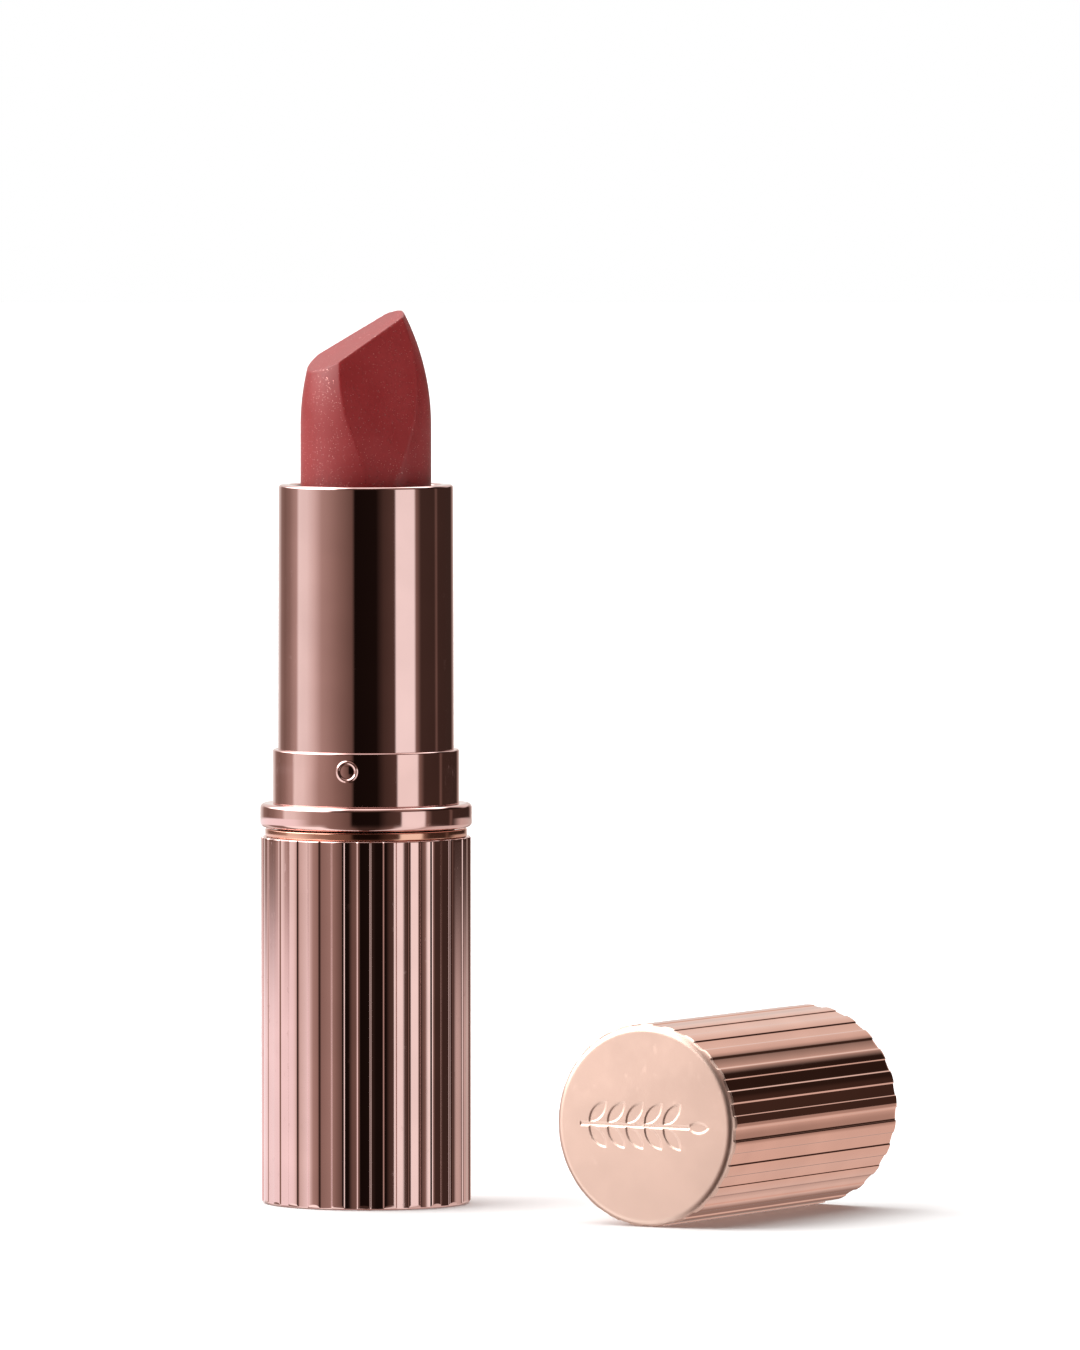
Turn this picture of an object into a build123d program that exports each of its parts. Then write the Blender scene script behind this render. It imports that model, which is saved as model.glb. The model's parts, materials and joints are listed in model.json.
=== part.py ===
from build123d import *
import math
import os

# A twist-up lipstick: a ribbed base, a smooth sleeve that turns in it, a bullet that the
# turning raises, and a ribbed cap lying beside them.
# Millimetres, +Z up. The origin is the centre of the base's flat foot. The front faces -Y.

# ---------------------------------------------------------------- driving sizes
# Heights up the case
base_height = 34.0         # ribbed base, foot to mouth
turning_gap = 0.9          # between the base's mouth and the flange above it
flange_height = 2.2
collar_height = 5.0
sleeve_height = 24.5       # smooth sleeve above the collar
bullet_rise = 16.1         # bullet's tip above the sleeve's rim when wound up
bullet_in_sleeve = 11.6    # bullet's length below the rim when wound up
tuck = 1.4                 # depth of the tip below the rim when wound down
overtravel = 1.0           # what is left to wind up

# Round sizes, from the bullet outwards
bullet_radius = 6.05       # the usual 12.1 mm bullet
cup_wall = 0.40
fork_wall = 0.50
cam_wall = 0.62
sleeve_wall = 0.42
collar_core_wall = 0.28
collar_wall = 0.20
cap_liner_wall = 0.26
cap_wall = 0.34
liner_wall = 1.00
base_wall = 0.47

# Clearances of the running fits, on the radius
slide_clearance = 0.08     # carrier cup in the fork
turn_clearance = 0.08      # cam sleeve round the fork
foot_clearance = 0.06      # cam sleeve's foot in the base liner
cap_clearance = 0.03       # cap liner over the collar
lug_clearance = 0.10       # lug in its slot and its groove
key_clearance = 0.05       # keys of the base liner in the fork's foot

# Winding
cam_lead = 20.0            # rise for one turn
lug_radius = 0.60

# Ribs
rib_count = 25
rib_round = 3.2            # radius of a rib's own curve
rib_step = 0.10            # depth of the wall beside a rib
wall_angle = 1.0           # degrees that wall takes up
base_rib_angle = -90.6     # where one rib of the base stands, degrees from +X

# Cap, and how it lies
cap_headroom = 0.3         # above the sleeve's rim when the cap is on
cap_liner_top = 0.4
cap_weight_height = 0.6
cap_end_wall = 0.5
cap_end_centre_x = 25.5
cap_end_centre_y = -28.2
cap_turn = 29.8            # degrees its closed end is turned from the front towards -X

# ---------------------------------------------------------------- sizes that follow
cup_radius = bullet_radius + cup_wall
fork_bore = cup_radius + slide_clearance
fork_radius = fork_bore + fork_wall
cam_bore = fork_radius + turn_clearance
cam_radius = cam_bore + cam_wall
sleeve_radius = cam_radius + sleeve_wall
collar_core_radius = sleeve_radius + collar_core_wall
collar_radius = collar_core_radius + collar_wall
cap_bore = collar_radius + cap_clearance
cap_liner_radius = cap_bore + cap_liner_wall
cap_radius = cap_liner_radius + cap_wall
foot_radius = sleeve_radius + 0.05
liner_bore = foot_radius + foot_clearance
liner_radius = liner_bore + liner_wall
base_radius = liner_radius + base_wall
neck_radius = base_radius - 0.38
flange_radius = base_radius + 0.08

flange_bottom = base_height + turning_gap
flange_top = flange_bottom + flange_height
collar_top = flange_top + collar_height
bump_level = flange_top + 3.3   # the collar's snap bumps
bump_height = 0.12
rim = collar_top + sleeve_height
tip = rim + bullet_rise

base_floor = 1.0
label_depth = 0.10
label_radius = 0.78 * base_radius
weight_height = 0.30 * base_height

foot_depth = 8.0           # the turning sleeve's foot below the flange
foot_bottom = flange_bottom - foot_depth
fork_foot_height = 1.2
web_height = 1.2
key_angles = (45, 135, 225, 315)
key_width = 1.5
key_reach = 1.0            # how far a key stands in from the liner's bore
web_top = foot_bottom - 0.4 - fork_foot_height
bead_height = 1.0
bead_bottom = foot_bottom + 1.0
bead_depth = 0.35
bead_clearance = 0.10

lip_height = 0.7           # the sleeve's rim, turned inwards over the mechanism
lip_radius = fork_radius - 0.13
cam_top = rim - lip_height - 0.1
fork_top = cam_top - 0.3

cup_floor = 0.8
cup_height = 10.0
cup_bottom = rim - bullet_in_sleeve - cup_floor
lug_height = cup_bottom + 1.8
travel = bullet_rise + tuck
lug_low = lug_height - travel
lug_high = lug_height + overtravel
lug_reach = cam_radius - 0.18
lug_room = lug_radius + lug_clearance

cap_inside = rim - flange_top + cap_headroom
cap_weight_bottom = cap_inside + cap_liner_top
cap_length = cap_weight_bottom + cap_weight_height + cap_end_wall


# ---------------------------------------------------------------- shapes used more than once
def turned(*profile):
    """Solid of revolution about Z from (radius, height) corners."""
    outline = make_face(Polyline(*profile, close=True))
    return revolve(Plane.XZ * outline, axis=Axis.Z)


def ring(inner, outer, bottom, top):
    return turned((inner, bottom), (outer, bottom), (outer, top), (inner, top))


def disc(radius, bottom, top):
    return turned((0, bottom), (radius, bottom), (radius, top), (0, top))


def at_angle(radius, degrees):
    return (radius * math.cos(math.radians(degrees)), radius * math.sin(math.radians(degrees)))


def ribbed_section(crest, first_rib):
    """Cross-section of a ribbed wall: a round rib, a slanted wall and a hollow flute in turn."""
    period = 360 / rib_count
    half_rib = (period / 2 - wall_angle) / 2
    half_width = crest * math.sin(math.radians(half_rib))
    rib_edge = crest - half_width**2 / 2 * (1 / rib_round - 1 / crest)
    flute_edge = rib_edge - rib_step
    flute_floor = flute_edge - half_width**2 / crest
    edges = []
    for rib in range(rib_count):
        middle = first_rib + rib * period
        rib_start = at_angle(rib_edge, middle - half_rib)
        rib_end = at_angle(rib_edge, middle + half_rib)
        flute_start = at_angle(flute_edge, middle + half_rib + wall_angle)
        flute_end = at_angle(flute_edge, middle + period - half_rib - wall_angle)
        next_rib = at_angle(rib_edge, middle + period - half_rib)
        edges.append(ThreePointArc(rib_start, at_angle(crest, middle), rib_end))
        edges.append(Line(rib_end, flute_start))
        edges.append(ThreePointArc(flute_start, at_angle(flute_floor, middle + period / 2), flute_end))
        edges.append(Line(flute_end, next_rib))
    return make_face(edges)


def soft_ended_blank(radius, height, rounding):
    """Round blank whose lower edge is rounded; it trims the ends of a ribbed wall."""
    outline = Polyline(
        (radius, rounding), (radius, height), (0, height), (0, 0), (radius - rounding, 0)
    )
    corner = RadiusArc((radius - rounding, 0), (radius, rounding), -rounding)
    return revolve(Plane.XZ * make_face([*outline.edges(), corner]), axis=Axis.Z)


def around(shape, angles):
    return [Rot(0, 0, angle) * shape for angle in angles]


# ---------------------------------------------------------------- base
def base_shell():
    """Ribbed metal cup with a shallow round recess under its foot."""
    wall = extrude(ribbed_section(base_radius, base_rib_angle), base_height)
    wall &= soft_ended_blank(base_radius + 0.01, base_height, 0.45)
    return wall - disc(liner_radius, base_floor, base_height) - disc(label_radius, 0, label_depth)


def base_label():
    """Blank disc that fills the recess flush with the foot."""
    return disc(label_radius, 0, label_depth)


def base_weight():
    """Steel slug in the bottom of the liner that makes the case stand firmly."""
    edge = 0.5
    top = base_floor + weight_height
    return turned(
        (0, base_floor),
        (liner_bore, base_floor),
        (liner_bore, top - edge),
        (liner_bore - edge, top),
        (0, top),
    )


def base_liner():
    """Plastic tube in the shell: its web carries the fork, its groove takes the snap bead."""
    groove_radius = liner_bore + bead_depth
    groove_low = bead_bottom - bead_clearance
    groove_high = bead_bottom + bead_height + bead_clearance
    slant = 0.35
    tube = turned(
        (liner_radius, base_floor),
        (liner_radius, base_height),
        (liner_bore, base_height),
        (liner_bore, groove_high),
        (groove_radius, groove_high - slant),
        (groove_radius, groove_low + slant),
        (liner_bore, groove_low),
        (liner_bore, base_floor),
    )
    web = disc(liner_bore, web_top - web_height, web_top)
    vent = disc(2.5, web_top - web_height, web_top)
    level = web_top + fork_foot_height / 2
    key = Pos(liner_bore - key_reach / 2 + 0.1, 0, level) * Box(key_reach + 0.2, key_width, fork_foot_height)
    return tube + (web - vent) + around(key, key_angles)


def neck_washer():
    """Bright washer on the base's mouth that the flange turns above."""
    washer = ring(liner_bore, neck_radius, base_height, flange_bottom - 0.12)
    return fillet(washer.edges().group_by(Axis.Z)[-1], 0.15)


def fork():
    """Tube fixed in the base; its two upright slots let the lugs rise but not turn."""
    tube = ring(fork_bore, fork_radius, web_top, fork_top)
    foot = ring(fork_bore, liner_bore - key_clearance, web_top, web_top + fork_foot_height)
    seat_size = (2 * (key_reach + key_clearance), key_width + 2 * key_clearance, 2 * fork_foot_height)
    seat = Pos(liner_bore, 0, web_top + fork_foot_height) * Box(*seat_size)
    slot_height = lug_high - lug_low + 2 * lug_room
    slots = Pos(0, 0, (lug_high + lug_low) / 2) * Box(2.5 * fork_radius, 2 * lug_room, slot_height)
    return (tube + foot) - around(seat, key_angles) - slots


# ---------------------------------------------------------------- turning sleeve
def cam_groove():
    """Right-hand helical cutter for one groove, passing the lug on the +X side."""
    slope = math.atan(cam_lead / (2 * math.pi * cam_radius))
    half_angle = math.degrees(lug_room / math.sin(slope) / cam_bore)
    bottom = lug_low - lug_room
    top = lug_high + lug_room
    degrees_per_mm = 360 / cam_lead
    start = (bottom - lug_height) * degrees_per_mm
    inner = cam_bore - 0.3
    outer = cam_radius + 0.02
    one_side = start - half_angle
    other_side = start + half_angle
    section = make_face([
        ThreePointArc(at_angle(outer, one_side), at_angle(outer, start), at_angle(outer, other_side)),
        Line(at_angle(outer, other_side), at_angle(inner, other_side)),
        ThreePointArc(at_angle(inner, other_side), at_angle(inner, start), at_angle(inner, one_side)),
        Line(at_angle(inner, one_side), at_angle(outer, one_side)),
    ])
    section = Pos(0, 0, bottom) * section.face()
    rise = top - bottom
    return Solid.extrude_linear_with_rotation(section, (0, 0, bottom), (0, 0, rise), rise * degrees_per_mm)


def damping_seat():
    return foot_bottom + 4.5


def damping_ring():
    """Rubber ring round the foot whose drag on the liner keeps the bullet where it is left."""
    thickness = 0.7
    return Pos(0, 0, damping_seat()) * Torus(liner_bore - 0.01 - thickness / 2, thickness / 2)


def cam_sleeve():
    """Plastic tube with two helical slots; its foot snaps into the base liner and turns there."""
    bead_out = foot_radius + bead_depth - 0.05
    slant = 0.35
    seat_half = 0.42
    seat_radius = liner_bore - 0.73
    seat = damping_seat()
    tube = turned(
        (cam_bore, foot_bottom),
        (foot_radius, foot_bottom),
        (foot_radius, bead_bottom),
        (bead_out, bead_bottom + slant),
        (bead_out, bead_bottom + bead_height - slant),
        (foot_radius, bead_bottom + bead_height),
        (foot_radius, seat - seat_half),
        (seat_radius, seat - seat_half),
        (seat_radius, seat + seat_half),
        (foot_radius, seat + seat_half),
        (foot_radius, flange_top),
        (cam_radius, flange_top),
        (cam_radius, cam_top),
        (cam_bore, cam_top),
    )
    groove = cam_groove()
    return tube - groove - Rot(0, 0, 180) * groove


def flange_ring():
    """Rounded metal ring under the collar, a little wider than the base."""
    band = ring(foot_radius, flange_radius, flange_bottom, flange_top)
    outer_edges = band.edges().filter_by(GeomType.CIRCLE).sort_by(SortBy.RADIUS)[-2:]
    return fillet(outer_edges, 0.35)


def collar_core():
    """Plastic ring that backs the thin metal collar."""
    return ring(sleeve_radius, collar_core_radius, flange_top, collar_top - collar_wall)


def snap_bump():
    """Round bump turned about the Z axis, its flat root at a depth inside the collar's wall."""
    radius = 1.0
    root = -0.75 * collar_wall
    ball_radius = (radius**2 + bump_height**2) / (2 * bump_height)
    halfway = bump_height - ball_radius + math.sqrt(ball_radius**2 - radius**2 / 4)
    dome = ThreePointArc((radius, 0), (radius / 2, halfway), (0, bump_height))
    sides = Polyline((0, bump_height), (0, root), (radius, root), (radius, 0))
    return revolve(Plane.XZ * make_face([dome, *sides.edges()]), axis=Axis.Z)


def collar_ring():
    """Thin metal collar with three round snap bumps that hold the cap."""
    edge = 0.15
    ceiling = collar_top - collar_wall
    skin = turned(
        (collar_core_radius, flange_top),
        (collar_radius, flange_top),
        (collar_radius, collar_top - edge),
        (collar_radius - edge, collar_top),
        (sleeve_radius, collar_top),
        (sleeve_radius, ceiling),
        (collar_core_radius, ceiling),
    )
    first_bump = -101.1        # degrees from +X, a little left of the front
    bump = Pos(collar_radius, 0, bump_level) * Rot(0, 90, 0) * snap_bump()
    for angle in (first_bump, first_bump + 120, first_bump + 240):
        skin += Rot(0, 0, angle) * bump
    return skin


def sleeve_shell():
    """Smooth metal tube, slightly drafted, with its rim turned in over the mechanism."""
    draft = 0.07
    rounding = 0.25
    top_radius = sleeve_radius - draft
    outline = Polyline(
        (top_radius - rounding, rim),
        (lip_radius, rim),
        (lip_radius, rim - lip_height),
        (cam_radius, rim - lip_height),
        (cam_radius, flange_top),
        (sleeve_radius, flange_top),
        (sleeve_radius, collar_top),
        (top_radius, rim - rounding),
    )
    shoulder = RadiusArc((top_radius, rim - rounding), (top_radius - rounding, rim), -rounding)
    return revolve(Plane.XZ * make_face([*outline.edges(), shoulder]), axis=Axis.Z)


# ---------------------------------------------------------------- carrier
def carrier_cup():
    """Cup that grips the bullet; its two lugs reach through the fork into the grooves."""
    top = cup_bottom + cup_height
    cup = turned(
        (0, cup_bottom),
        (cup_radius, cup_bottom),
        (cup_radius, top),
        (bullet_radius, top),
        (bullet_radius, cup_bottom + cup_floor),
        (0, cup_bottom + cup_floor),
    )
    lug_length = lug_reach - bullet_radius - 0.1
    lug = Pos(lug_reach - lug_length / 2, 0, lug_height) * Rot(0, 90, 0) * Cylinder(lug_radius, lug_length)
    return cup + around(lug, (0, 180))


def bullet():
    """Bullet with an ogive nose, one slanted face and two slightly curved side facets."""
    ogive_height = 10.65
    ogive_radius = 22.9
    nose = tip + 0.8
    slant_slope = 32.0
    slant_azimuth = 202.5      # the way the slanted face falls, degrees from +X
    facet_azimuth = 286.5      # the way the front facet faces; the other faces opposite
    facet_radius = 65.0        # the facets curve inwards towards the nose
    facet_swell = 0.225        # how far a facet's arc stands outside the rod where it is widest
    facet_middle = rim - 6.3
    bottom = cup_bottom + cup_floor
    shoulder = tip - ogive_height

    def ogive(height):
        return bullet_radius - ogive_radius + math.sqrt(ogive_radius**2 - (height - shoulder)**2)

    outline = Polyline(
        (ogive(nose), nose), (0, nose), (0, bottom), (bullet_radius, bottom), (bullet_radius, shoulder)
    )
    middle = (shoulder + nose) / 2
    curve = ThreePointArc((bullet_radius, shoulder), (ogive(middle), middle), (ogive(nose), nose))
    stick = revolve(Plane.XZ * make_face([*outline.edges(), curve]), axis=Axis.Z)

    high_side = Rot(0, 0, slant_azimuth) * Pos(-ogive(tip), 0, tip)
    stick -= high_side * Rot(0, slant_slope, 0) * Pos(0, 0, 20) * Box(60, 60, 40)
    for side in (0, 180):
        reach = bullet_radius + facet_swell - facet_radius
        facet = Rot(0, 0, facet_azimuth + side) * Pos(reach, 0, facet_middle) * Rot(90, 0, 0)
        stick &= facet * Cylinder(facet_radius, 40)
    return stick


# ---------------------------------------------------------------- cap
def cap_place():
    """Carries the cap from upright on Z, mouth at 0, to lying with its closed end forward."""
    half_period = math.radians(180 / rib_count)
    lying_height = (cap_radius - rib_round) * math.cos(half_period) + rib_round
    turn = math.radians(cap_turn)
    outward = (-math.sin(turn), -math.cos(turn), 0)
    mouth = (
        cap_end_centre_x - cap_length * outward[0],
        cap_end_centre_y - cap_length * outward[1],
        lying_height,
    )
    return Plane(origin=mouth, x_dir=(0, 0, -1), z_dir=outward).location


def leaf(length, width):
    """Lens-shaped outline from the origin along +X."""
    tip_point = (length, 0)
    upper = ThreePointArc((0, 0), (length / 2, width / 2), tip_point)
    lower = ThreePointArc(tip_point, (length / 2, -width / 2), (0, 0))
    return make_face([upper, lower])


def sprig():
    """Plain sprig of leaves along Y, the ornament of the cap's end."""
    half_length = 0.76 * cap_liner_radius
    leaf_pairs = 5
    leaf_length = 0.38 * half_length
    leaf_width = 0.42 * leaf_length
    leaf_angle = 48
    spacing = (2 * half_length - 1.5 * leaf_length) / leaf_pairs
    stem_end = half_length - 0.8 * leaf_length
    shapes = Sketch() + Pos(0, (stem_end - half_length) / 2, 0) * Rectangle(0.28, stem_end + half_length)
    for pair in range(leaf_pairs):
        root = -half_length + spacing * (pair + 0.5)
        for side in (-1, 1):
            stalk = Pos(0, root, 0) * Rot(0, 0, 90 + side * leaf_angle) * Pos(0.2, 0, 0)
            shapes += stalk * leaf(leaf_length, leaf_width)
    return shapes + Pos(0, stem_end - 0.1, 0) * Rot(0, 0, 90) * leaf(0.8 * leaf_length, 0.9 * leaf_width)


def cap_shell():
    """Ribbed metal cap, rounded at its closed end, with a sprig sunk into the end face."""
    half_period = 180 / rib_count
    wall = extrude(ribbed_section(cap_radius, half_period), cap_length)
    blank = Pos(0, 0, cap_length) * Rot(180, 0, 0) * soft_ended_blank(cap_radius + 0.01, cap_length, 0.7)
    ornament_depth = 0.15
    ornament = Pos(0, 0, cap_length - ornament_depth) * extrude(sprig(), ornament_depth)
    return (wall & blank) - disc(cap_liner_radius, 0, cap_length - cap_end_wall) - ornament


def cap_liner():
    """Plastic cup inside the cap; a groove near its mouth clicks over the collar's bumps."""
    mouth = 0.3
    groove_radius = cap_bore + bump_height + 0.02
    groove_level = bump_level - flange_top
    groove_half = 1.1
    slant = 0.3
    return turned(
        (cap_bore, mouth),
        (cap_liner_radius, mouth),
        (cap_liner_radius, cap_weight_bottom),
        (0, cap_weight_bottom),
        (0, cap_inside),
        (cap_bore, cap_inside),
        (cap_bore, groove_level + groove_half),
        (groove_radius, groove_level + groove_half - slant),
        (groove_radius, groove_level - groove_half + slant),
        (cap_bore, groove_level - groove_half),
    )


def cap_weight():
    """Steel disc between the liner and the closed end that gives the cap its heft."""
    return disc(cap_liner_radius - 0.4, cap_weight_bottom, cap_weight_bottom + cap_weight_height)


# ---------------------------------------------------------------- build
standing_parts = [
    base_shell,
    base_label,
    base_weight,
    base_liner,
    neck_washer,
    fork,
    cam_sleeve,
    damping_ring,
    flange_ring,
    collar_core,
    collar_ring,
    sleeve_shell,
    carrier_cup,
    bullet,
]
lying_parts = [cap_shell, cap_liner, cap_weight]


def save(make, place):
    export_step((place * make()).solid(), f"parts/{make.__name__}.step")


os.makedirs("parts", exist_ok=True)
for make in standing_parts:
    save(make, Location())
for make in lying_parts:
    save(make, cap_place())
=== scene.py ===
# %% [markdown]
# # A twist-up lipstick case in ribbed rose gold
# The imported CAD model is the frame: every piece made here sits where the frame says, in metres.
# The outer metal pieces and the bullet are made again as finer meshes, because polished metal
# shows every facet. The hidden pieces keep their CAD meshes and get a better finish.

# %% Load the frame
import json
import math

import bmesh
import bpy
from mathutils import Matrix, Vector


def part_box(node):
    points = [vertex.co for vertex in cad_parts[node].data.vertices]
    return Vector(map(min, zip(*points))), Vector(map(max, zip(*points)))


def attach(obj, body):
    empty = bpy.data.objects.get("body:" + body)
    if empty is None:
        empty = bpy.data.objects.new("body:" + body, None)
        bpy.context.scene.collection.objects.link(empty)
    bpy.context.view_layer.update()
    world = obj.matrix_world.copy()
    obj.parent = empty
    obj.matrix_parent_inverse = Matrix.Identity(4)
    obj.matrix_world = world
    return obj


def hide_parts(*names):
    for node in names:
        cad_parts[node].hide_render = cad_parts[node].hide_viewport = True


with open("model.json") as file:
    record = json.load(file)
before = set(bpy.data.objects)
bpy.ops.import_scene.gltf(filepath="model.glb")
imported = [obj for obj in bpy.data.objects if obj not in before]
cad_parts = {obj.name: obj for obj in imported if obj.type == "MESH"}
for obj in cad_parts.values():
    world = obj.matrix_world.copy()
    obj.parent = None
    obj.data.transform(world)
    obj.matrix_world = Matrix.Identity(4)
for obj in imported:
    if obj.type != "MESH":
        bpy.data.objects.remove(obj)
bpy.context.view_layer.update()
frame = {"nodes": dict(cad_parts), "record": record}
nodes = frame["nodes"]
record = frame["record"]
MM = 0.001
edge = 0.05 * MM   # small bevel of hidden corners
hold = 0.2 * MM    # rows this close to a rounding keep it tight
print("CAD nodes:", len(nodes))

# %% [markdown]
# ## Sizes read from the frame
# A finer piece has to sit exactly where its CAD node is. The case's pieces are all round and
# share the Z axis, so a node's box gives its outer radius and its two heights.


# %% Radii and heights of the case
def outer_radius(node):
    """A round node's largest radius, from its box."""
    low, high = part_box(node)
    return max(high.x, -low.x)


def height_range(node):
    """A node's lowest and highest point along Z."""
    low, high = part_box(node)
    return low.z, high.z


base_high = height_range("base_shell")[1]
base_crest = 9.73 * MM       # the box is a little smaller where no crest points along X
liner_radius = outer_radius("base_liner")
flange_low, flange_high = height_range("flange_ring")
collar_low, collar_high = height_range("collar_ring")
collar_radius = 8.63 * MM    # not from the box, which a bump along X would widen
sleeve_low, rim = height_range("sleeve_shell")
sleeve_radius = outer_radius("sleeve_shell")
bullet_low, tip = height_range("bullet")
bullet_radius = outer_radius("bullet")
print(f"base {base_high / MM:.1f} mm tall, rim at {rim / MM:.1f} mm, tip at {tip / MM:.1f} mm")

# %% [markdown]
# ## One cross-section for both ribbed pieces
# The base and the cap carry 25 round ribs with shallow hollow flutes between them, drawn in the
# metal. A rib meets a flute at a small slanted wall. The section could be an array of modelled
# ribs, but one formula of the angle is easier: radius = crest less a little. Between the two
# levels a smooth step rounds both corners of the wall, as drawing and polishing do.

# %% Radius of the ribbed section at an angle
rib_count = 25
period = 360 / rib_count
rib_round = 3.2 * MM
rib_step = 0.10 * MM
wall_angle = 1.0
half_rib = (period / 2 - wall_angle) / 2


def smooth_step(value):
    """0 to 1 with a soft start and end."""
    value = min(max(value, 0.0), 1.0)
    return value * value * (3 - 2 * value)


def rib_radius(angle, crest):
    """Radius at angle degrees from the middle of a rib."""
    offset = abs((angle + period / 2) % period - period / 2)
    half_width = crest * math.sin(math.radians(half_rib))
    rib_edge = crest - half_width**2 / 2 * (1 / rib_round - 1 / crest)
    flute_edge = rib_edge - rib_step
    if offset <= half_rib:
        across = crest * math.radians(offset)
        return crest - across**2 / 2 * (1 / rib_round - 1 / crest)
    if offset < half_rib + wall_angle:
        down = smooth_step((offset - half_rib) / wall_angle)
        return rib_edge + (flute_edge - rib_edge) * down
    across = crest * math.radians(period / 2 - offset)
    return flute_edge - (half_width**2 - across**2) / crest


def rib_angles():
    """Angles round the section, close together only where it turns."""
    one_side = [half_rib * k / 5 for k in range(6)]
    one_side += [half_rib + wall_angle * k / 6 for k in range(1, 7)]
    start = half_rib + wall_angle
    one_side += [start + (period / 2 - start) * k / 5 for k in range(1, 6)]
    other_side = [period - angle for angle in reversed(one_side[1:-1])]
    one_period = one_side + other_side
    return [rib * period + angle for rib in range(rib_count) for angle in one_period]


def ribbed(crest, turn, inset=0.0):
    """The ribbed radius, turned by some degrees and set in, as a function of the angle."""
    return lambda angle: rib_radius(angle - turn, crest) - inset


def ribbed_within(crest, turn, limit):
    """The ribbed radius where it is under a limit, and the limit elsewhere."""
    return lambda angle: min(rib_radius(angle - turn, crest), limit)


angles = rib_angles()
print("points round a ribbed section:", len(angles))

# %% [markdown]
# ## Turning a profile
# Every round piece is a list of rows from one end of its profile to the other. A row is a height
# and a radius, and the radius may depend on the angle. The rows are joined into one closed skin,
# like a pot on a lathe, so outside, edge and inside come in one go. Edges are small arcs of rows,
# because a real edge is never sharp and its highlight is what makes metal look solid.


# %% Lathe helpers
def arc_rows(centre_r, centre_z, radius, start, stop, steps=5):
    """(radius, height) points along an arc, angles in degrees from +r towards +z."""
    points = []
    for k in range(steps + 1):
        turn = math.radians(start + (stop - start) * k / steps)
        points.append((centre_r + radius * math.cos(turn), centre_z + radius * math.sin(turn)))
    return points


def lathe(rows, round_angles, closed=False):
    """Skin through rows of (radius or function of the angle, height); closed joins last to first."""
    mesh = bmesh.new()
    rings = []
    for radius, height in rows:
        ring = []
        for angle in round_angles:
            here = radius(angle) if callable(radius) else radius
            turn = math.radians(angle)
            ring.append(mesh.verts.new((here * math.cos(turn), here * math.sin(turn), height)))
        rings.append(ring)
    pairs = list(zip(rings, rings[1:]))
    if closed:
        pairs.append((rings[-1], rings[0]))
    count = len(round_angles)
    for lower, upper in pairs:
        for k in range(count):
            after = (k + 1) % count
            mesh.faces.new((lower[k], lower[after], upper[after], upper[k]))
    return mesh, rings


def close_ring(mesh, ring):
    """Closes a ring with a fan to its middle."""
    middle = mesh.verts.new(sum((v.co for v in ring), Vector()) / len(ring))
    for k in range(len(ring)):
        mesh.faces.new((ring[k], ring[(k + 1) % len(ring)], middle))


def finish_mesh(name, mesh, body, node):
    """Turns the bmesh into a smooth object that rides on its body and stands for its node."""
    bmesh.ops.recalc_face_normals(mesh, faces=mesh.faces)
    data = bpy.data.meshes.new(name)
    mesh.to_mesh(data)
    mesh.free()
    for polygon in data.polygons:
        polygon.use_smooth = True
    piece = bpy.data.objects.new(name, data)
    bpy.context.scene.collection.objects.link(piece)
    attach(piece, body)
    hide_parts(node)
    print(f"{name}: {len(data.vertices)} points")
    return piece


round_points = 256
even_angles = [360 * k / round_points for k in range(round_points)]
print("points round a plain ring:", round_points)

# %% [markdown]
# ## The ribbed base
# A drawn cup of thin metal: the ribs run down into the rounded foot edge, and the mouth's edge is
# softened so that it doesn't cut the fingers. At the foot the ribs fade because the rounding takes
# the smaller of two radii, the rib's and the foot's.

# %% Base shell
base_rib_angle = -90.6
foot_round = 0.45 * MM
mouth_round = 0.12 * MM
label_radius = outer_radius("base_label")
label_depth = height_range("base_label")[1]
base_floor = height_range("base_liner")[0]
base_wall = ribbed(base_crest, base_rib_angle)
base_angles = [angle + base_rib_angle for angle in angles]

base_rows = [(label_radius, label_depth), (label_radius, 0.02 * MM), (label_radius + edge, 0)]
base_rows.append((base_crest - foot_round - edge, 0))
for radius, height in arc_rows(base_crest - foot_round, foot_round, foot_round, -90, 0, 10):
    base_rows.append((ribbed_within(base_crest, base_rib_angle, radius), height))
base_rows += [(base_wall, foot_round + hold), (base_wall, base_high - mouth_round - hold)]
for inset, drop in arc_rows(-mouth_round, -mouth_round, mouth_round, 0, 90, 3):
    base_rows.append((ribbed(base_crest, base_rib_angle, -inset), base_high + drop))
base_rows += [(liner_radius + edge, base_high), (liner_radius, base_high - edge)]
base_rows += [(liner_radius, base_floor + edge), (liner_radius - edge, base_floor)]
mesh, rings = lathe(base_rows, base_angles)
close_ring(mesh, rings[0])
close_ring(mesh, rings[-1])
ribbed_base = finish_mesh("ribbed_base", mesh, "base", "base_shell")

# %% [markdown]
# ## The smooth turned pieces
# Neck washer, flange, collar and sleeve are plain rings, each with its own small rounding. The
# flange is rounded most, the sleeve's rim is rolled inwards, and the collar carries three round
# snap bumps: each is a low dome with a round bead pressed about it. The bumps come from moving the
# collar's own points outwards, so bump and collar stay one skin as in pressed metal.


# %% Rings with rounded edges
def ring_rows(inner, outer, low, high, outer_round):
    """Rows of a closed ring, its outer and inner edges rounded."""
    rows = arc_rows(inner + edge, low + edge, edge, 180, 270, 2)
    rows += arc_rows(outer - outer_round, low + outer_round, outer_round, 270, 360, 6)
    rows += arc_rows(outer - outer_round, high - outer_round, outer_round, 0, 90, 6)
    rows += arc_rows(inner + edge, high - edge, edge, 90, 180, 2)
    return rows


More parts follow.
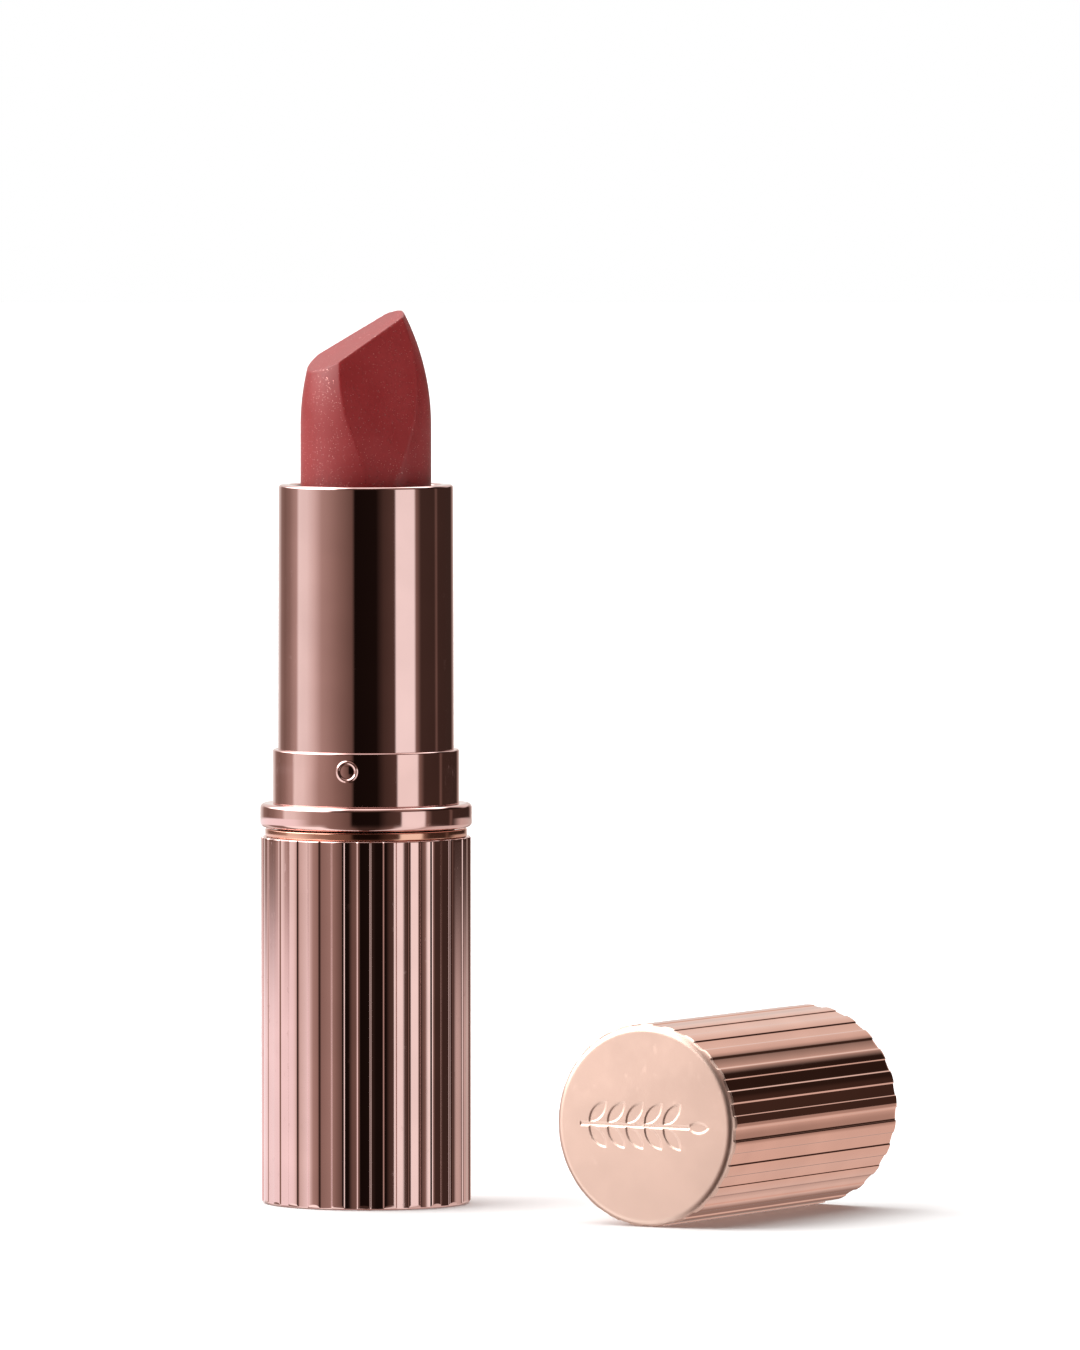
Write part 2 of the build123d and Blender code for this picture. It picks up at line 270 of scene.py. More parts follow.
washer_low, washer_high = height_range("neck_washer")
liner_wall = 1.0 * MM
washer_inner = liner_radius - liner_wall
washer_outer = outer_radius("neck_washer")
washer_round = 0.15 * MM
washer_rows = ring_rows(washer_inner, washer_outer, washer_low, washer_high, washer_round)
mesh, rings = lathe(washer_rows, even_angles, closed=True)
bright_washer = finish_mesh("bright_washer", mesh, "base", "neck_washer")

flange_inner = 8.20 * MM
flange_outer = outer_radius("flange_ring")
flange_round = 0.42 * MM
flange_rows = ring_rows(flange_inner, flange_outer, flange_low, flange_high, flange_round)
mesh, rings = lathe(flange_rows, even_angles, closed=True)
rounded_flange = finish_mesh("rounded_flange", mesh, "sleeve", "flange_ring")

# %% Sleeve with its rolled rim
sleeve_draft = 0.07 * MM
top_radius = sleeve_radius - sleeve_draft
roll = 0.28 * MM
lip_round = 0.25 * MM
lip_radius = 6.90 * MM
lip_low = rim - 0.7 * MM
sleeve_bore = 7.73 * MM
straight_steps = 8
sleeve_rows = [(sleeve_bore, sleeve_low), (sleeve_radius, sleeve_low), (sleeve_radius, collar_high)]
for k in range(1, straight_steps):
    height = collar_high + (rim - roll - collar_high) * k / straight_steps
    share = (height - collar_high) / (rim - collar_high)
    sleeve_rows.append((sleeve_radius - sleeve_draft * share, height))
sleeve_rows += arc_rows(top_radius - roll, rim - roll, roll, 0, 90, 6)
sleeve_rows += arc_rows(lip_radius + lip_round, rim - lip_round, lip_round, 90, 180, 5)
sleeve_rows += [(lip_radius, lip_low), (sleeve_bore, lip_low), (sleeve_bore, lip_low - 0.1 * MM)]
mesh, rings = lathe(sleeve_rows, even_angles, closed=True)
smooth_sleeve = finish_mesh("smooth_sleeve", mesh, "sleeve", "sleeve_shell")

# %% Collar with snap bumps
core_radius = outer_radius("collar_core")
collar_wall = 0.2 * MM
bump_level = collar_low + 3.3 * MM
first_bump = -101.1
bump_angles = [first_bump, first_bump + 120, first_bump + 240]
bead_middle = 0.86 * MM
bead_half_width = 0.20 * MM
bead_height = 0.10 * MM
dome_radius = 0.60 * MM
dome_height = 0.05 * MM
bump_reach = bead_middle + bead_half_width


def bump_profile(distance):
    """How far the skin stands out at a distance from a bump's middle: a round bead, then a dome."""
    aside = abs(distance - bead_middle) / bead_half_width
    bead = bead_height * (1 - aside**2) ** 2 if aside < 1 else 0.0
    dome = dome_height * (1 - (distance / dome_radius) ** 2) if distance < dome_radius else 0.0
    return bead + dome


def collar_angles():
    """Even angles, with close ones over each bump."""
    close = 9.0
    gap = 120 - 2 * close
    steps = 60
    chosen = []
    for middle in bump_angles:
        chosen += [middle - close + 2 * close * k / steps for k in range(steps + 1)]
        chosen += [middle + close + gap * k / steps for k in range(1, steps)]
    return chosen


collar_round = 0.18 * MM
collar_steps = 96
collar_rows = [(core_radius, collar_low), (collar_radius, collar_low)]
for k in range(1, collar_steps):
    height = collar_low + (collar_high - collar_round - collar_low) * k / collar_steps
    collar_rows.append((collar_radius, height))
collar_rows += arc_rows(collar_radius - collar_round, collar_high - collar_round, collar_round, 0, 90, 6)
collar_rows += [(sleeve_radius + 0.02 * MM, collar_high), (sleeve_radius, collar_high - 0.03 * MM)]
collar_rows += [(sleeve_radius, collar_high - collar_wall), (core_radius, collar_high - collar_wall)]
mesh, rings = lathe(collar_rows, collar_angles(), closed=True)
for vert in mesh.verts:
    reach = math.hypot(vert.co.x, vert.co.y)
    if reach < collar_radius - 1e-7:
        continue
    turn = math.degrees(math.atan2(vert.co.y, vert.co.x))
    for middle in bump_angles:
        along = collar_radius * math.radians((turn - middle + 180) % 360 - 180)
        distance = math.hypot(along, vert.co.z - bump_level)
        out = bump_profile(distance) if distance < bump_reach else 0.0
        vert.co.x *= 1 + out / collar_radius
        vert.co.y *= 1 + out / collar_radius
snap_collar = finish_mesh("snap_collar", mesh, "sleeve", "collar_ring")

# %% [markdown]
# ## The bullet
# The stick is moulded: a rod with an ogive nose, one slanted face and two side facets that curve
# inwards towards the nose. Cutting a mesh with planes leaves knife edges, and beveling such cuts
# is fragile. Instead every point is found along a ray from inside the stick, at the nearest of
# the surfaces. A soft minimum of the distances rounds each edge a little, as moulding does.

# %% Surfaces that bound the bullet
ogive_height = 10.65 * MM
ogive_round = 22.9 * MM
shoulder = tip - ogive_height
ogive_ceiling = shoulder + ogive_height * 1.6
slant_slope = math.radians(32.0)
slant_turn = math.radians(202.5)
facet_turn = math.radians(286.5)
facet_round = 65.0 * MM
facet_swell = 0.225 * MM
facet_middle = rim - 6.3 * MM
edge_softness = 0.02 * MM
out_of_reach = 1.0


def ogive_radius(height):
    """The turned radius, which shrinks along an arc above the shoulder."""
    above = max(0.0, height - shoulder)
    return bullet_radius - ogive_round + math.sqrt(ogive_round**2 - above**2)


slant_normal = Vector((
    math.sin(slant_slope) * math.cos(slant_turn),
    math.sin(slant_slope) * math.sin(slant_turn),
    math.cos(slant_slope),
))
uphill = Vector((-math.cos(slant_turn), -math.sin(slant_turn), 0))
slant_point = uphill * ogive_radius(tip) + Vector((0, 0, tip))
facet_normals = [
    Vector((math.cos(turn), math.sin(turn), 0)) for turn in (facet_turn, facet_turn + math.pi)
]


def distance_to_slant(start, ray):
    """Length of the ray to the slanted face."""
    facing = ray.dot(slant_normal)
    return (slant_point - start).dot(slant_normal) / facing if facing > 1e-6 else out_of_reach


def distance_to_facet(start, ray, normal):
    """Length of the ray to a facet's arc, a circle in the plane of its normal and Z."""
    across = start.dot(normal) - (bullet_radius + facet_swell - facet_round)
    above = start.z - facet_middle
    outward_rate = ray.dot(normal)
    square = outward_rate**2 + ray.z**2
    half = across * outward_rate + above * ray.z
    gap = across**2 + above**2 - facet_round**2
    if square < 1e-9:
        return out_of_reach
    return (math.sqrt(half**2 - square * gap) - half) / square


def distance_to_ogive(start, ray):
    """Length of the ray to the turned skin, by halving."""
    near, far = 0.0, 40 * MM
    for _ in range(40):
        middle = (near + far) / 2
        point = start + ray * middle
        inside = point.z < ogive_ceiling
        inside = inside and math.hypot(point.x, point.y) < ogive_radius(point.z)
        near, far = (middle, far) if inside else (near, middle)
    return near


def surface_distance(start, ray):
    """Soft minimum of the lengths to all the surfaces."""
    lengths = [distance_to_ogive(start, ray), distance_to_slant(start, ray)]
    lengths += [distance_to_facet(start, ray, normal) for normal in facet_normals]
    shortest = min(lengths)
    total = sum(math.exp(-(length - shortest) / edge_softness) for length in lengths)
    return shortest - edge_softness * math.log(total)


# %% Bullet mesh
around_count = 288
side_count = 60
rise_count = 110
side_bottom = rim - 2 * MM
side_top = rim + 6.0 * MM
heart = Vector((0, 0, side_top))
bullet_mesh = bmesh.new()
bullet_rings = []


def add_bullet_ring(start, rise):
    """A ring of points on the bullet, along rays from start that climb by rise."""
    ring = []
    for k in range(around_count):
        turn = 2 * math.pi * k / around_count
        ray = Vector((math.cos(turn) * math.cos(rise), math.sin(turn) * math.cos(rise), math.sin(rise)))
        ring.append(bullet_mesh.verts.new(start + ray * surface_distance(start, ray)))
    bullet_rings.append(ring)


add_bullet_ring(Vector((0, 0, bullet_low + 0.3 * MM)), 0.0)
add_bullet_ring(Vector((0, 0, side_bottom)), 0.0)
for k in range(1, side_count + 1):
    add_bullet_ring(Vector((0, 0, side_bottom + (side_top - side_bottom) * k / side_count)), 0.0)
for k in range(1, rise_count):
    add_bullet_ring(heart, math.pi / 2 * k / rise_count)
for lower, upper in zip(bullet_rings, bullet_rings[1:]):
    for k in range(around_count):
        after = (k + 1) % around_count
        bullet_mesh.faces.new((lower[k], lower[after], upper[after], upper[k]))
close_ring(bullet_mesh, bullet_rings[0])
top_point = bullet_mesh.verts.new(heart + Vector((0, 0, surface_distance(heart, Vector((0, 0, 1))))))
last = bullet_rings[-1]
for k in range(around_count):
    bullet_mesh.faces.new((last[k], last[(k + 1) % around_count], top_point))
colour_stick = finish_mesh("colour_stick", bullet_mesh, "carrier", "bullet")

# %% [markdown]
# ## The cap and its pressed ornament
# The cap is a deeper drawn cup of the same ribs. It is made upright, mouth at zero, and then laid
# down by one matrix whose axis is the cap's own bore in the frame. Its end face carries a plain
# sprig of leaves pressed into the metal. Each point of the end face sinks by how deep it lies
# inside the nearest leaf, which gives the soft edges of a pressing rather than a cut.

# %% Where the cap lies
bore = next(mount for mount in record["mounts"] if mount["name"] == "cap_bore")
mouthward = Vector(bore["axis"]).normalized()
liner_recess = 0.3 * MM
cap_mouth = Vector(bore["pos_m"]) + mouthward * (bore["dims"]["length_mm"] * MM / 2 + liner_recess)
cap_length = 31.3 * MM
cap_crest = 9.26 * MM
cap_bore_wall = 8.92 * MM
outward = -mouthward
downward = Vector((0, 0, -1))
sideways = outward.cross(downward)
cap_place = Matrix((downward, sideways, outward)).transposed().to_4x4()
cap_place.translation = cap_mouth
print("cap mouth at", [round(c / MM, 2) for c in cap_mouth], "mm")

# %% Leaves of the sprig
half_length = 0.76 * cap_bore_wall
leaf_length = 0.38 * half_length
leaf_width = 0.42 * leaf_length
leaf_pairs = 5
leaf_angle = math.radians(48)
leaf_spacing = (2 * half_length - 1.5 * leaf_length) / leaf_pairs
stem_start = 0.98 * half_length
stem_end = half_length - 0.8 * leaf_length
stem_half_width = 0.16 * MM


def leaf_depth(x, y, root, turn, length, width):
    """How far (x, y) lies inside a lens-shaped leaf; negative outside."""
    along = (x - root[0]) * math.cos(turn) + (y - root[1]) * math.sin(turn) - length / 2
    aside = abs((y - root[1]) * math.cos(turn) - (x - root[0]) * math.sin(turn))
    arc_radius = (length**2 / 4 + width**2 / 4) / width
    return arc_radius - math.hypot(along, aside + arc_radius - width / 2)


stalk = 0.2 * MM
leaves = []
for pair in range(leaf_pairs):
    node_y = -half_length + leaf_spacing * (pair + 0.5)
    for side in (-1, 1):
        turn = math.pi / 2 + side * leaf_angle
        root = (stalk * math.cos(turn), node_y + stalk * math.sin(turn))
        leaves.append((root, turn, leaf_length, leaf_width))
leaves.append(((0, stem_end - 0.1 * MM), math.pi / 2, 0.8 * leaf_length, 0.9 * leaf_width))
press_depth = 0.07 * MM
press_slope = 0.20 * MM


def sprig_sink(x, y):
    """How far the end face sinks at (x, y): the stem or the nearest leaf, whichever is deeper."""
    on_stem = -stem_start < y < stem_end
    inside = stem_half_width - abs(x) if on_stem else -1.0
    for leaf in leaves:
        inside = max(inside, leaf_depth(x, y, *leaf))
    return press_depth * smooth_step((inside + press_slope * 0.5) / press_slope)


print("leaves:", len(leaves))

# %% Cap shell
end_round = 0.75 * MM
end_dome = 0.15 * MM
end_wall = 0.5 * MM
mouth_bevel = 0.06 * MM
cap_hold = 0.3 * MM
arc_foot = cap_length - end_dome - end_round
cap_rib_angle = period / 2
cap_angles = [angle + cap_rib_angle for angle in angles]
cap_wall = ribbed(cap_crest, cap_rib_angle)
inner_end = cap_length - end_wall
cap_rows = [(cap_bore_wall - edge, inner_end), (cap_bore_wall, inner_end - edge)]
cap_rows += [(cap_bore_wall, edge), (cap_bore_wall + edge, 0)]
for inset, rise in arc_rows(-mouth_bevel, mouth_bevel, mouth_bevel, -90, 0, 3):
    cap_rows.append((ribbed(cap_crest, cap_rib_angle, -inset), rise))
cap_rows += [(cap_wall, cap_hold), (cap_wall, arc_foot - cap_hold), (cap_wall, arc_foot)]
mesh, rings = lathe(cap_rows, cap_angles)
close_ring(mesh, rings[0])
bmesh.ops.transform(mesh, matrix=cap_place, verts=mesh.verts)
ribbed_cap = finish_mesh("ribbed_cap", mesh, "cap", "cap_shell")

# %% [markdown]
# ## The pressed end
# The end face is a piece of its own so that it can have the satin finish a pressing die leaves, and a
# paler, brighter tint than the cap's sides that paints in the light the face catches.
# It is very slightly domed, because a stamped disc springs back, and it rolls over into the ribs.

# %% End face
dome_edge = cap_crest - end_round
ring_step = 0.06 * MM
ring_count = round(dome_edge / ring_step)
round_steps = 12
end_rows = []
for radius, height in arc_rows(dome_edge, arc_foot, end_round, 0, 90, round_steps):
    end_rows.append((ribbed_within(cap_crest, cap_rib_angle, radius), height))
for k in range(1, ring_count):
    share = 1 - k / ring_count
    end_rows.append((dome_edge * share, cap_length - end_dome * share**2))
mesh, rings = lathe(end_rows, cap_angles)
close_ring(mesh, rings[-1])
for ring in rings[round_steps + 1:]:
    for vert in ring:
        vert.co.z -= sprig_sink(vert.co.x, vert.co.y)
bmesh.ops.transform(mesh, matrix=cap_place, verts=mesh.verts)
pressed_end = finish_mesh("pressed_end", mesh, "cap", "cap_shell")

# %% [markdown]
# ## Writing materials as expressions
# A node tree is arithmetic. The small class below holds one output socket and lets Python's
# operators add the nodes: mask * 0.3 + 0.1 makes two Math nodes. Colours are mixed by Mix nodes.


# %% Sockets that can be added and multiplied
class Shade:
    """An output socket with arithmetic."""

    def __init__(self, tree, socket):
        self.tree = tree
        self.socket = socket

    def node(self, kind, settings=None, output=0, **inputs):
        """Adds a node: its settings first, then values or links for its sockets."""
        return add_node(self.tree, kind, settings, output, **inputs)

    def math(self, operation, other=0.0, swapped=False):
        """A Math node on this value and another; swapped puts the other first."""
        first, second = (other, self) if swapped else (self, other)
        node = self.tree.nodes.new("ShaderNodeMath")
        node.operation = operation
        connect(self.tree, node.inputs[0], first)
        connect(self.tree, node.inputs[1], second)
        return Shade(self.tree, node.outputs[0])

    def __add__(self, other):
        return self.math("ADD", other)

    def __radd__(self, other):
        return self.math("ADD", other)

    def __sub__(self, other):
        return self.math("SUBTRACT", other)

    def __rsub__(self, other):
        return self.math("SUBTRACT", other, swapped=True)

    def __mul__(self, other):
        return self.math("MULTIPLY", other)

    def __rmul__(self, other):
        return self.math("MULTIPLY", other)

    def between(self, low, high, to_low=0.0, to_high=1.0):
        """Remaps low..high smoothly to to_low..to_high."""
        settings = {"interpolation_type": "SMOOTHSTEP"}
        return self.node(
            "ShaderNodeMapRange", settings, 0, Value=self,
            From_Min=low, From_Max=high, To_Min=to_low, To_Max=to_high,
        )

    def mix(self, dark, light):
        """Colour between dark and light by this value."""
        node = self.tree.nodes.new("ShaderNodeMix")
        node.data_type = "RGBA"
        connect(self.tree, node.inputs[0], self)
        connect(self.tree, node.inputs[6], dark)
        connect(self.tree, node.inputs[7], light)
        return Shade(self.tree, node.outputs[2])


# %% Nodes, materials and two patterns
def connect(tree, target, value):
    """Links a Shade to a socket, or sets the socket's own value."""
    if isinstance(value, Shade):
        tree.links.new(value.socket, target)
    elif isinstance(value, tuple) and len(value) == 3 and target.type == "RGBA":
        target.default_value = (*value, 1.0)
    else:
        target.default_value = value


def add_node(tree, kind, settings=None, output=0, **inputs):
    """A new node; underscores in an input's name stand for spaces."""
    node = tree.nodes.new(kind)
    for setting, value in (settings or {}).items():
        setattr(node, setting, value)
    for socket, value in inputs.items():
        connect(tree, node.inputs[socket.replace("_", " ")], value)
    return Shade(tree, node.outputs[output])


def new_material(name):
    """A new material; returns it, its Principled shader and the object's own point."""
    material = bpy.data.materials.new(name)
    material.use_nodes = True
    tree = material.node_tree
    shader = tree.nodes["Principled BSDF"]
    place = add_node(tree, "ShaderNodeTexCoord", None, "Object")
    return material, shader, place


def set_shader(shader, **values):
    """Sets or links the shader's sockets, named as in add_node."""
    for socket, value in values.items():
        connect(shader.id_data, shader.inputs[socket.replace("_", " ")], value)


def noise(place, scale, detail=3.0, stretch=(1, 1, 1)):
    """Noise of the object's own point, stretched along an axis."""
    stretched = place.node("ShaderNodeMapping", None, 0, Vector=place, Scale=stretch)
    return place.node("ShaderNodeTexNoise", None, 0, Vector=stretched, Scale=scale, Detail=detail)


def bump(height, strength, distance):
    """A normal that follows a height; distance is the depth in metres."""
    return height.node("ShaderNodeBump", None, 0, Height=height, Strength=strength, Distance=distance)


polish_depth = 0.02 * MM
grain_depth = 0.03 * MM
dust_depth = 0.04 * MM
print("depths for bumps:", polish_depth, grain_depth, dust_depth)

# %% [markdown]
# ## Rose gold
# The metal is polished aluminium under a tinted anodised film. What it shows is mostly the room,
# so the shader is metallic with low roughness, and the detail is small: the tint varies faintly,
# fine polishing lines run round or along the piece, and handling leaves hairline scratches and a
# little haze. All of that varies the roughness and the bump, and the tint only slightly.


# %% Rose gold finish
def rose_gold(name, tint, roughness, line_stretch, line_strength):
    """Tinted polish; lines are long where the stretch is small."""
    material, shader, place = new_material(name)
    cloud = noise(place, 160, 2)
    lines = noise(place, 900, 2, line_stretch)
    haze = noise(place, 45, 4)
    scratches = noise(place, 2400, 1, (0.04, 1, 0.35)).between(0.68, 0.76)
    darker = tuple(channel * 0.93 for channel in tint)
    worn = cloud.between(0.35, 0.7).mix(darker, tint)
    polish = roughness + 0.03 * haze.between(0.5, 0.75) + 0.03 * lines.between(0.45, 0.8)
    relief = lines * 0.6 + scratches * -0.3
    set_shader(
        shader,
        Base_Color=worn,
        Metallic=1.0,
        Roughness=polish + scratches * 0.06,
        Normal=bump(relief, line_strength, polish_depth),
    )
    return material


along_z = (1, 1, 0.02)
round_z = (0.05, 0.05, 1)
warm_tint = (0.90, 0.61, 0.58)
ribbed_gold = rose_gold("rose_gold_ribbed", warm_tint, 0.04, along_z, 0.02)
sleeve_gold = rose_gold("rose_gold_sleeve", (0.90, 0.62, 0.60), 0.03, along_z, 0.015)
collar_gold = rose_gold("rose_gold_collar", (0.90, 0.60, 0.57), 0.04, round_z, 0.02)
neck_gold = rose_gold("rose_gold_neck", (0.88, 0.50, 0.38), 0.10, round_z, 0.03)
cap_gold = rose_gold("rose_gold_cap", (0.95, 0.56, 0.45), 0.04, (1, 1, 1), 0.015)
# Painted light: the pressed end's tint is paler and brighter than the cap's sides and stands for the
# light its face catches.
end_gold_painted_light = rose_gold("rose_gold_pressed_painted_light", (1.0, 0.73, 0.63), 0.38, (1, 1, 1), 0.05)
golds = [ribbed_gold, sleeve_gold, collar_gold, neck_gold, cap_gold, end_gold_painted_light]
print("rose gold finishes:", len(golds))

# %% [markdown]
# ## Lip colour
# The stick is pigment in wax and oil: deep rose, satin, and full of fine mica that glints. Wax is
# slightly translucent, so a little light goes in and comes out redder. The mica is a cell texture:
# a few cells get a pale metallic flake. Faint streaks from the mould run up the sides.


# %% Lip colour material
def lip_colour():
    """Deep rose wax with flakes of mica in it."""
    material, shader, place = new_material("lip_colour")
    cells = place.node(
        "ShaderNodeTexVoronoi", {"feature": "F1"}, "Color", Vector=place, Scale=18000.0
    )
    chance = place.node("ShaderNodeSeparateColor", None, 0, Color=cells)
    flake = chance.between(0.98, 0.992)
    tone = noise(place, 220, 4)
    streak = noise(place, 1500, 2, (1, 1, 0.05))
    body_colour = tone.between(0.3, 0.7).mix((0.25, 0.013, 0.015), (0.28, 0.018, 0.020))
    colour = flake.mix(body_colour, (0.85, 0.45, 0.42))
    grain = noise(place, 5200, 2)
    relief = streak * 0.4 + grain * 0.8
    set_shader(
        shader,
        Base_Color=colour,
        Metallic=flake,
        Roughness=0.40 - flake * 0.15 + tone.between(0.4, 0.7) * 0.06,
        Normal=bump(relief, 0.25, grain_depth),
        IOR=1.46,
        Specular_IOR_Level=0.65,
        Subsurface_Weight=0.12,
        Subsurface_Radius=(0.0012, 0.0004, 0.0003),
        Subsurface_Scale=1.0,
    )
    return material


lip_material = lip_colour()
print("nodes in the lip colour:", len(lip_material.node_tree.nodes))

# %% [markdown]
# ## Hidden pieces
# Moulded plastic has a faint flow texture, turned steel has rings, rubber is dull and dusty. They
# show only when the case is wound or seen from the mouth, but each still gets its own finish.


# %% Moulded plastic, steel, rubber and film
def moulded_plastic(name, colour, roughness):
    """Plastic with faint flow marks and a fine grain."""
    material, shader, place = new_material(name)
    flow = noise(place, 120, 3)
    grain = noise(place, 3000, 2)
    shade = tuple(channel * 0.9 for channel in colour)
    set_shader(
        shader,
        Base_Color=flow.between(0.35, 0.65).mix(shade, colour),
        Roughness=roughness + flow.between(0.3, 0.7) * 0.1,
        Normal=bump(grain, 0.2, grain_depth),
        IOR=1.49,
    )
    return material


def turned_steel(name):
    """Grey steel with tool rings round Z."""
    material, shader, place = new_material(name)
    rings = noise(place, 700, 3, (0.05, 0.05, 1))
    cloud = noise(place, 90, 3)
    set_shader(
        shader,
        Base_Color=cloud.between(0.3, 0.7).mix((0.42, 0.42, 0.43), (0.55, 0.55, 0.56)),
        Metallic=1.0,
        Roughness=0.28 + rings.between(0.3, 0.7) * 0.15,
        Normal=bump(rings, 0.25, grain_depth),
    )
    return material


def greased_rubber(name):
    """Black rubber with a dusting."""
    material, shader, place = new_material(name)
    dust = noise(place, 260, 4)
    set_shader(
        shader,
        Base_Color=dust.between(0.4, 0.7).mix((0.02, 0.02, 0.02), (0.07, 0.07, 0.07)),
        Roughness=0.5 + dust * 0.25,
        Normal=bump(dust, 0.3, dust_depth),
    )
    return material


white_plastic = moulded_plastic("moulded_white", (0.80, 0.78, 0.74), 0.38)
dark_plastic = moulded_plastic("moulded_dark", (0.045, 0.04, 0.04), 0.35)
steel = turned_steel("turned_steel")
rubber = greased_rubber("greased_rubber")
film = moulded_plastic("blank_film", (0.74, 0.66, 0.62), 0.5)
print("materials so far:", len(bpy.data.materials))

# %% Put the finishes on
finishes = {
    "base_label": film,
    "base_weight": steel,
    "base_liner": white_plastic,
    "fork": white_plastic,
    "cam_sleeve": dark_plastic,
    "damping_ring": rubber,
    "collar_core": white_plastic,
    "carrier_cup": collar_gold,
    "cap_liner": white_plastic,
    "cap_weight": steel,
}
for node, material in finishes.items():
    data = nodes[node].data
    for index in range(len(data.materials)):
        data.materials[index] = material
skins = {
    ribbed_base: ribbed_gold,
    bright_washer: neck_gold,
    rounded_flange: collar_gold,
    smooth_sleeve: sleeve_gold,
    snap_collar: collar_gold,
    colour_stick: lip_material,
    ribbed_cap: cap_gold,
    pressed_end: end_gold_painted_light,
}
for piece, material in skins.items():
    piece.data.materials.append(material)
print("finishes:", len(finishes) + len(skins))

# %% [markdown]
# ## Keep the cap out of the base's mirror
# The ribbed base is a mirror, and the cap lying beside it would show in it as a dark blot. On a
# set, a white card between the two hides it. Here the cap is simply not seen by mirror rays.

# %% Hide the cap from reflections
unseen_in_mirrors = [ribbed_cap, pressed_end, nodes["cap_liner"], nodes["cap_weight"]]
for piece in unseen_in_mirrors:
    piece.visible_glossy = False
print("pieces kept out of mirrors:", len(unseen_in_mirrors))

# %% [markdown]
# ## Floor and studio
# The case stands on a pale sweep. Polished metal is lit by what it mirrors, so the studio is drawn
# as a ring of soft panels round the set: a large panel to the left, a narrow bright strip to the
# right front, a dark gap where the camera stands, and a white wall behind. Overhead there is a
# broad soft light for the floor and the stick. Drawing the panels in the world keeps them at a
# distance, so every rib mirrors them by its own tilt alone.

# %% Floor
floor_reach = 4.0
floor_drop = 0.02 * MM
floor_mesh = bmesh.new()
corners = []
for x, y in ((-1, -1), (1, -1), (1, 1), (-1, 1)):
    corners.append(floor_mesh.verts.new((x * floor_reach, y * floor_reach, -floor_drop)))
floor_mesh.faces.new(corners)
floor_data = bpy.data.meshes.new("floor")
floor_mesh.to_mesh(floor_data)
floor_mesh.free()
floor = bpy.data.objects.new("floor", floor_data)
bpy.context.scene.collection.objects.link(floor)
floor.visible_glossy = False


def floor_paper():
    """Pale, slightly cool paper with a faint fibre."""
    material, shader, place = new_material("floor_paper")
    fibre = noise(place, 300, 3)
    set_shader(
        shader,
        Base_Color=fibre.mix((0.90, 0.91, 0.94), (0.92, 0.93, 0.96)),
        Roughness=0.9,
    )
    return material


floor_data.materials.append(floor_paper())
print("floor across:", 2 * floor_reach, "m")

# %% [markdown]
# ## Panels by bearing, in tiers by elevation
# Bearing 0 is the camera's side and plus is to the right. A pair below is a bearing in degrees and
# the light there, and 1 is white paper. An upright wall mirrors the ring near the horizon. The
# roundings and the lying cap also mirror the tiers under and over it, so each tier has its own
# list. The alternative, many small area lights, would make the ribs' reflections hard to place.

# %% Light at each bearing
ring_stops = [
    (-180, 0.90), (-160, 0.75), (-147, 0.28), (-134, 0.21), (-120, 0.28), (-104, 0.48), (-99, 0.92),
    (-84, 0.88), (-72, 0.70), (-60, 0.43), (-48, 0.35), (-36, 0.26), (-18, 0.15), (-14, 0.008),
    (14, 0.01), (24, 0.06), (39, 0.09), (41, 1.0), (67, 1.0), (70, 0.24), (78, 0.055),
    (103, 0.05), (107, 0.16), (111, 0.05), (151, 0.045), (160, 0.35), (170, 0.75),
]
key_light = 3.4
key_core = 6.0
high_stops = [
    (-180, 0.85), (-142, 0.85), (-130, key_light), (-112, key_light), (-106, key_core), (-80, key_core),
    (-74, key_light), (-50, key_light), (-38, 0.05), (24, 0.02), (44, 0.20), (66, 0.20), (76, 0.025),
    (132, 0.025), (146, 0.70), (168, 0.85),
]
low_stops = [
    (-180, 0.30), (-168, 0.30), (-160, 0.75), (-142, 0.80), (-130, 0.25), (-106, 0.30), (-98, 1.20),
    (-52, 1.20), (-42, 0.30), (-16, 0.15), (-8, 0.05), (14, 0.05), (30, 0.20), (40, 0.95), (62, 0.95),
    (72, 0.50), (90, 0.70), (156, 0.72), (168, 0.30),
]
top_stops = [
    (-180, 2.8), (-126, key_light), (-46, key_light), (-30, 0.4), (40, 0.3), (100, 0.5), (125, 2.8),
]
tiers = [low_stops, ring_stops, high_stops, top_stops]
print("stops in the four tiers:", [len(tier) for tier in tiers])


# %% From a list to a ramp
def room_colour(light):
    """The room is warm: its dim parts are redder, because their light has bounced off wood."""
    level = min(light, 1.0)
    return (light, light * (0.58 + 0.42 * level), light * (0.45 + 0.52 * level))


def light_by_bearing(bearing, stops):
    """A ramp over the whole turn, with one stop for each pair."""
    node = bearing.tree.nodes.new("ShaderNodeValToRGB")
    ramp = node.color_ramp
    while len(ramp.elements) < len(stops):
        ramp.elements.new(1.0)
    for element, (degrees, light) in zip(ramp.elements, stops):
        element.position = (degrees + 180) / 360
        element.color = (*room_colour(light), 1.0)
    connect(bearing.tree, node.inputs[0], (bearing + 180) * (1 / 360))
    return Shade(bearing.tree, node.outputs[0])


print("dim and bright room colours:", room_colour(0.1), room_colour(1.0))

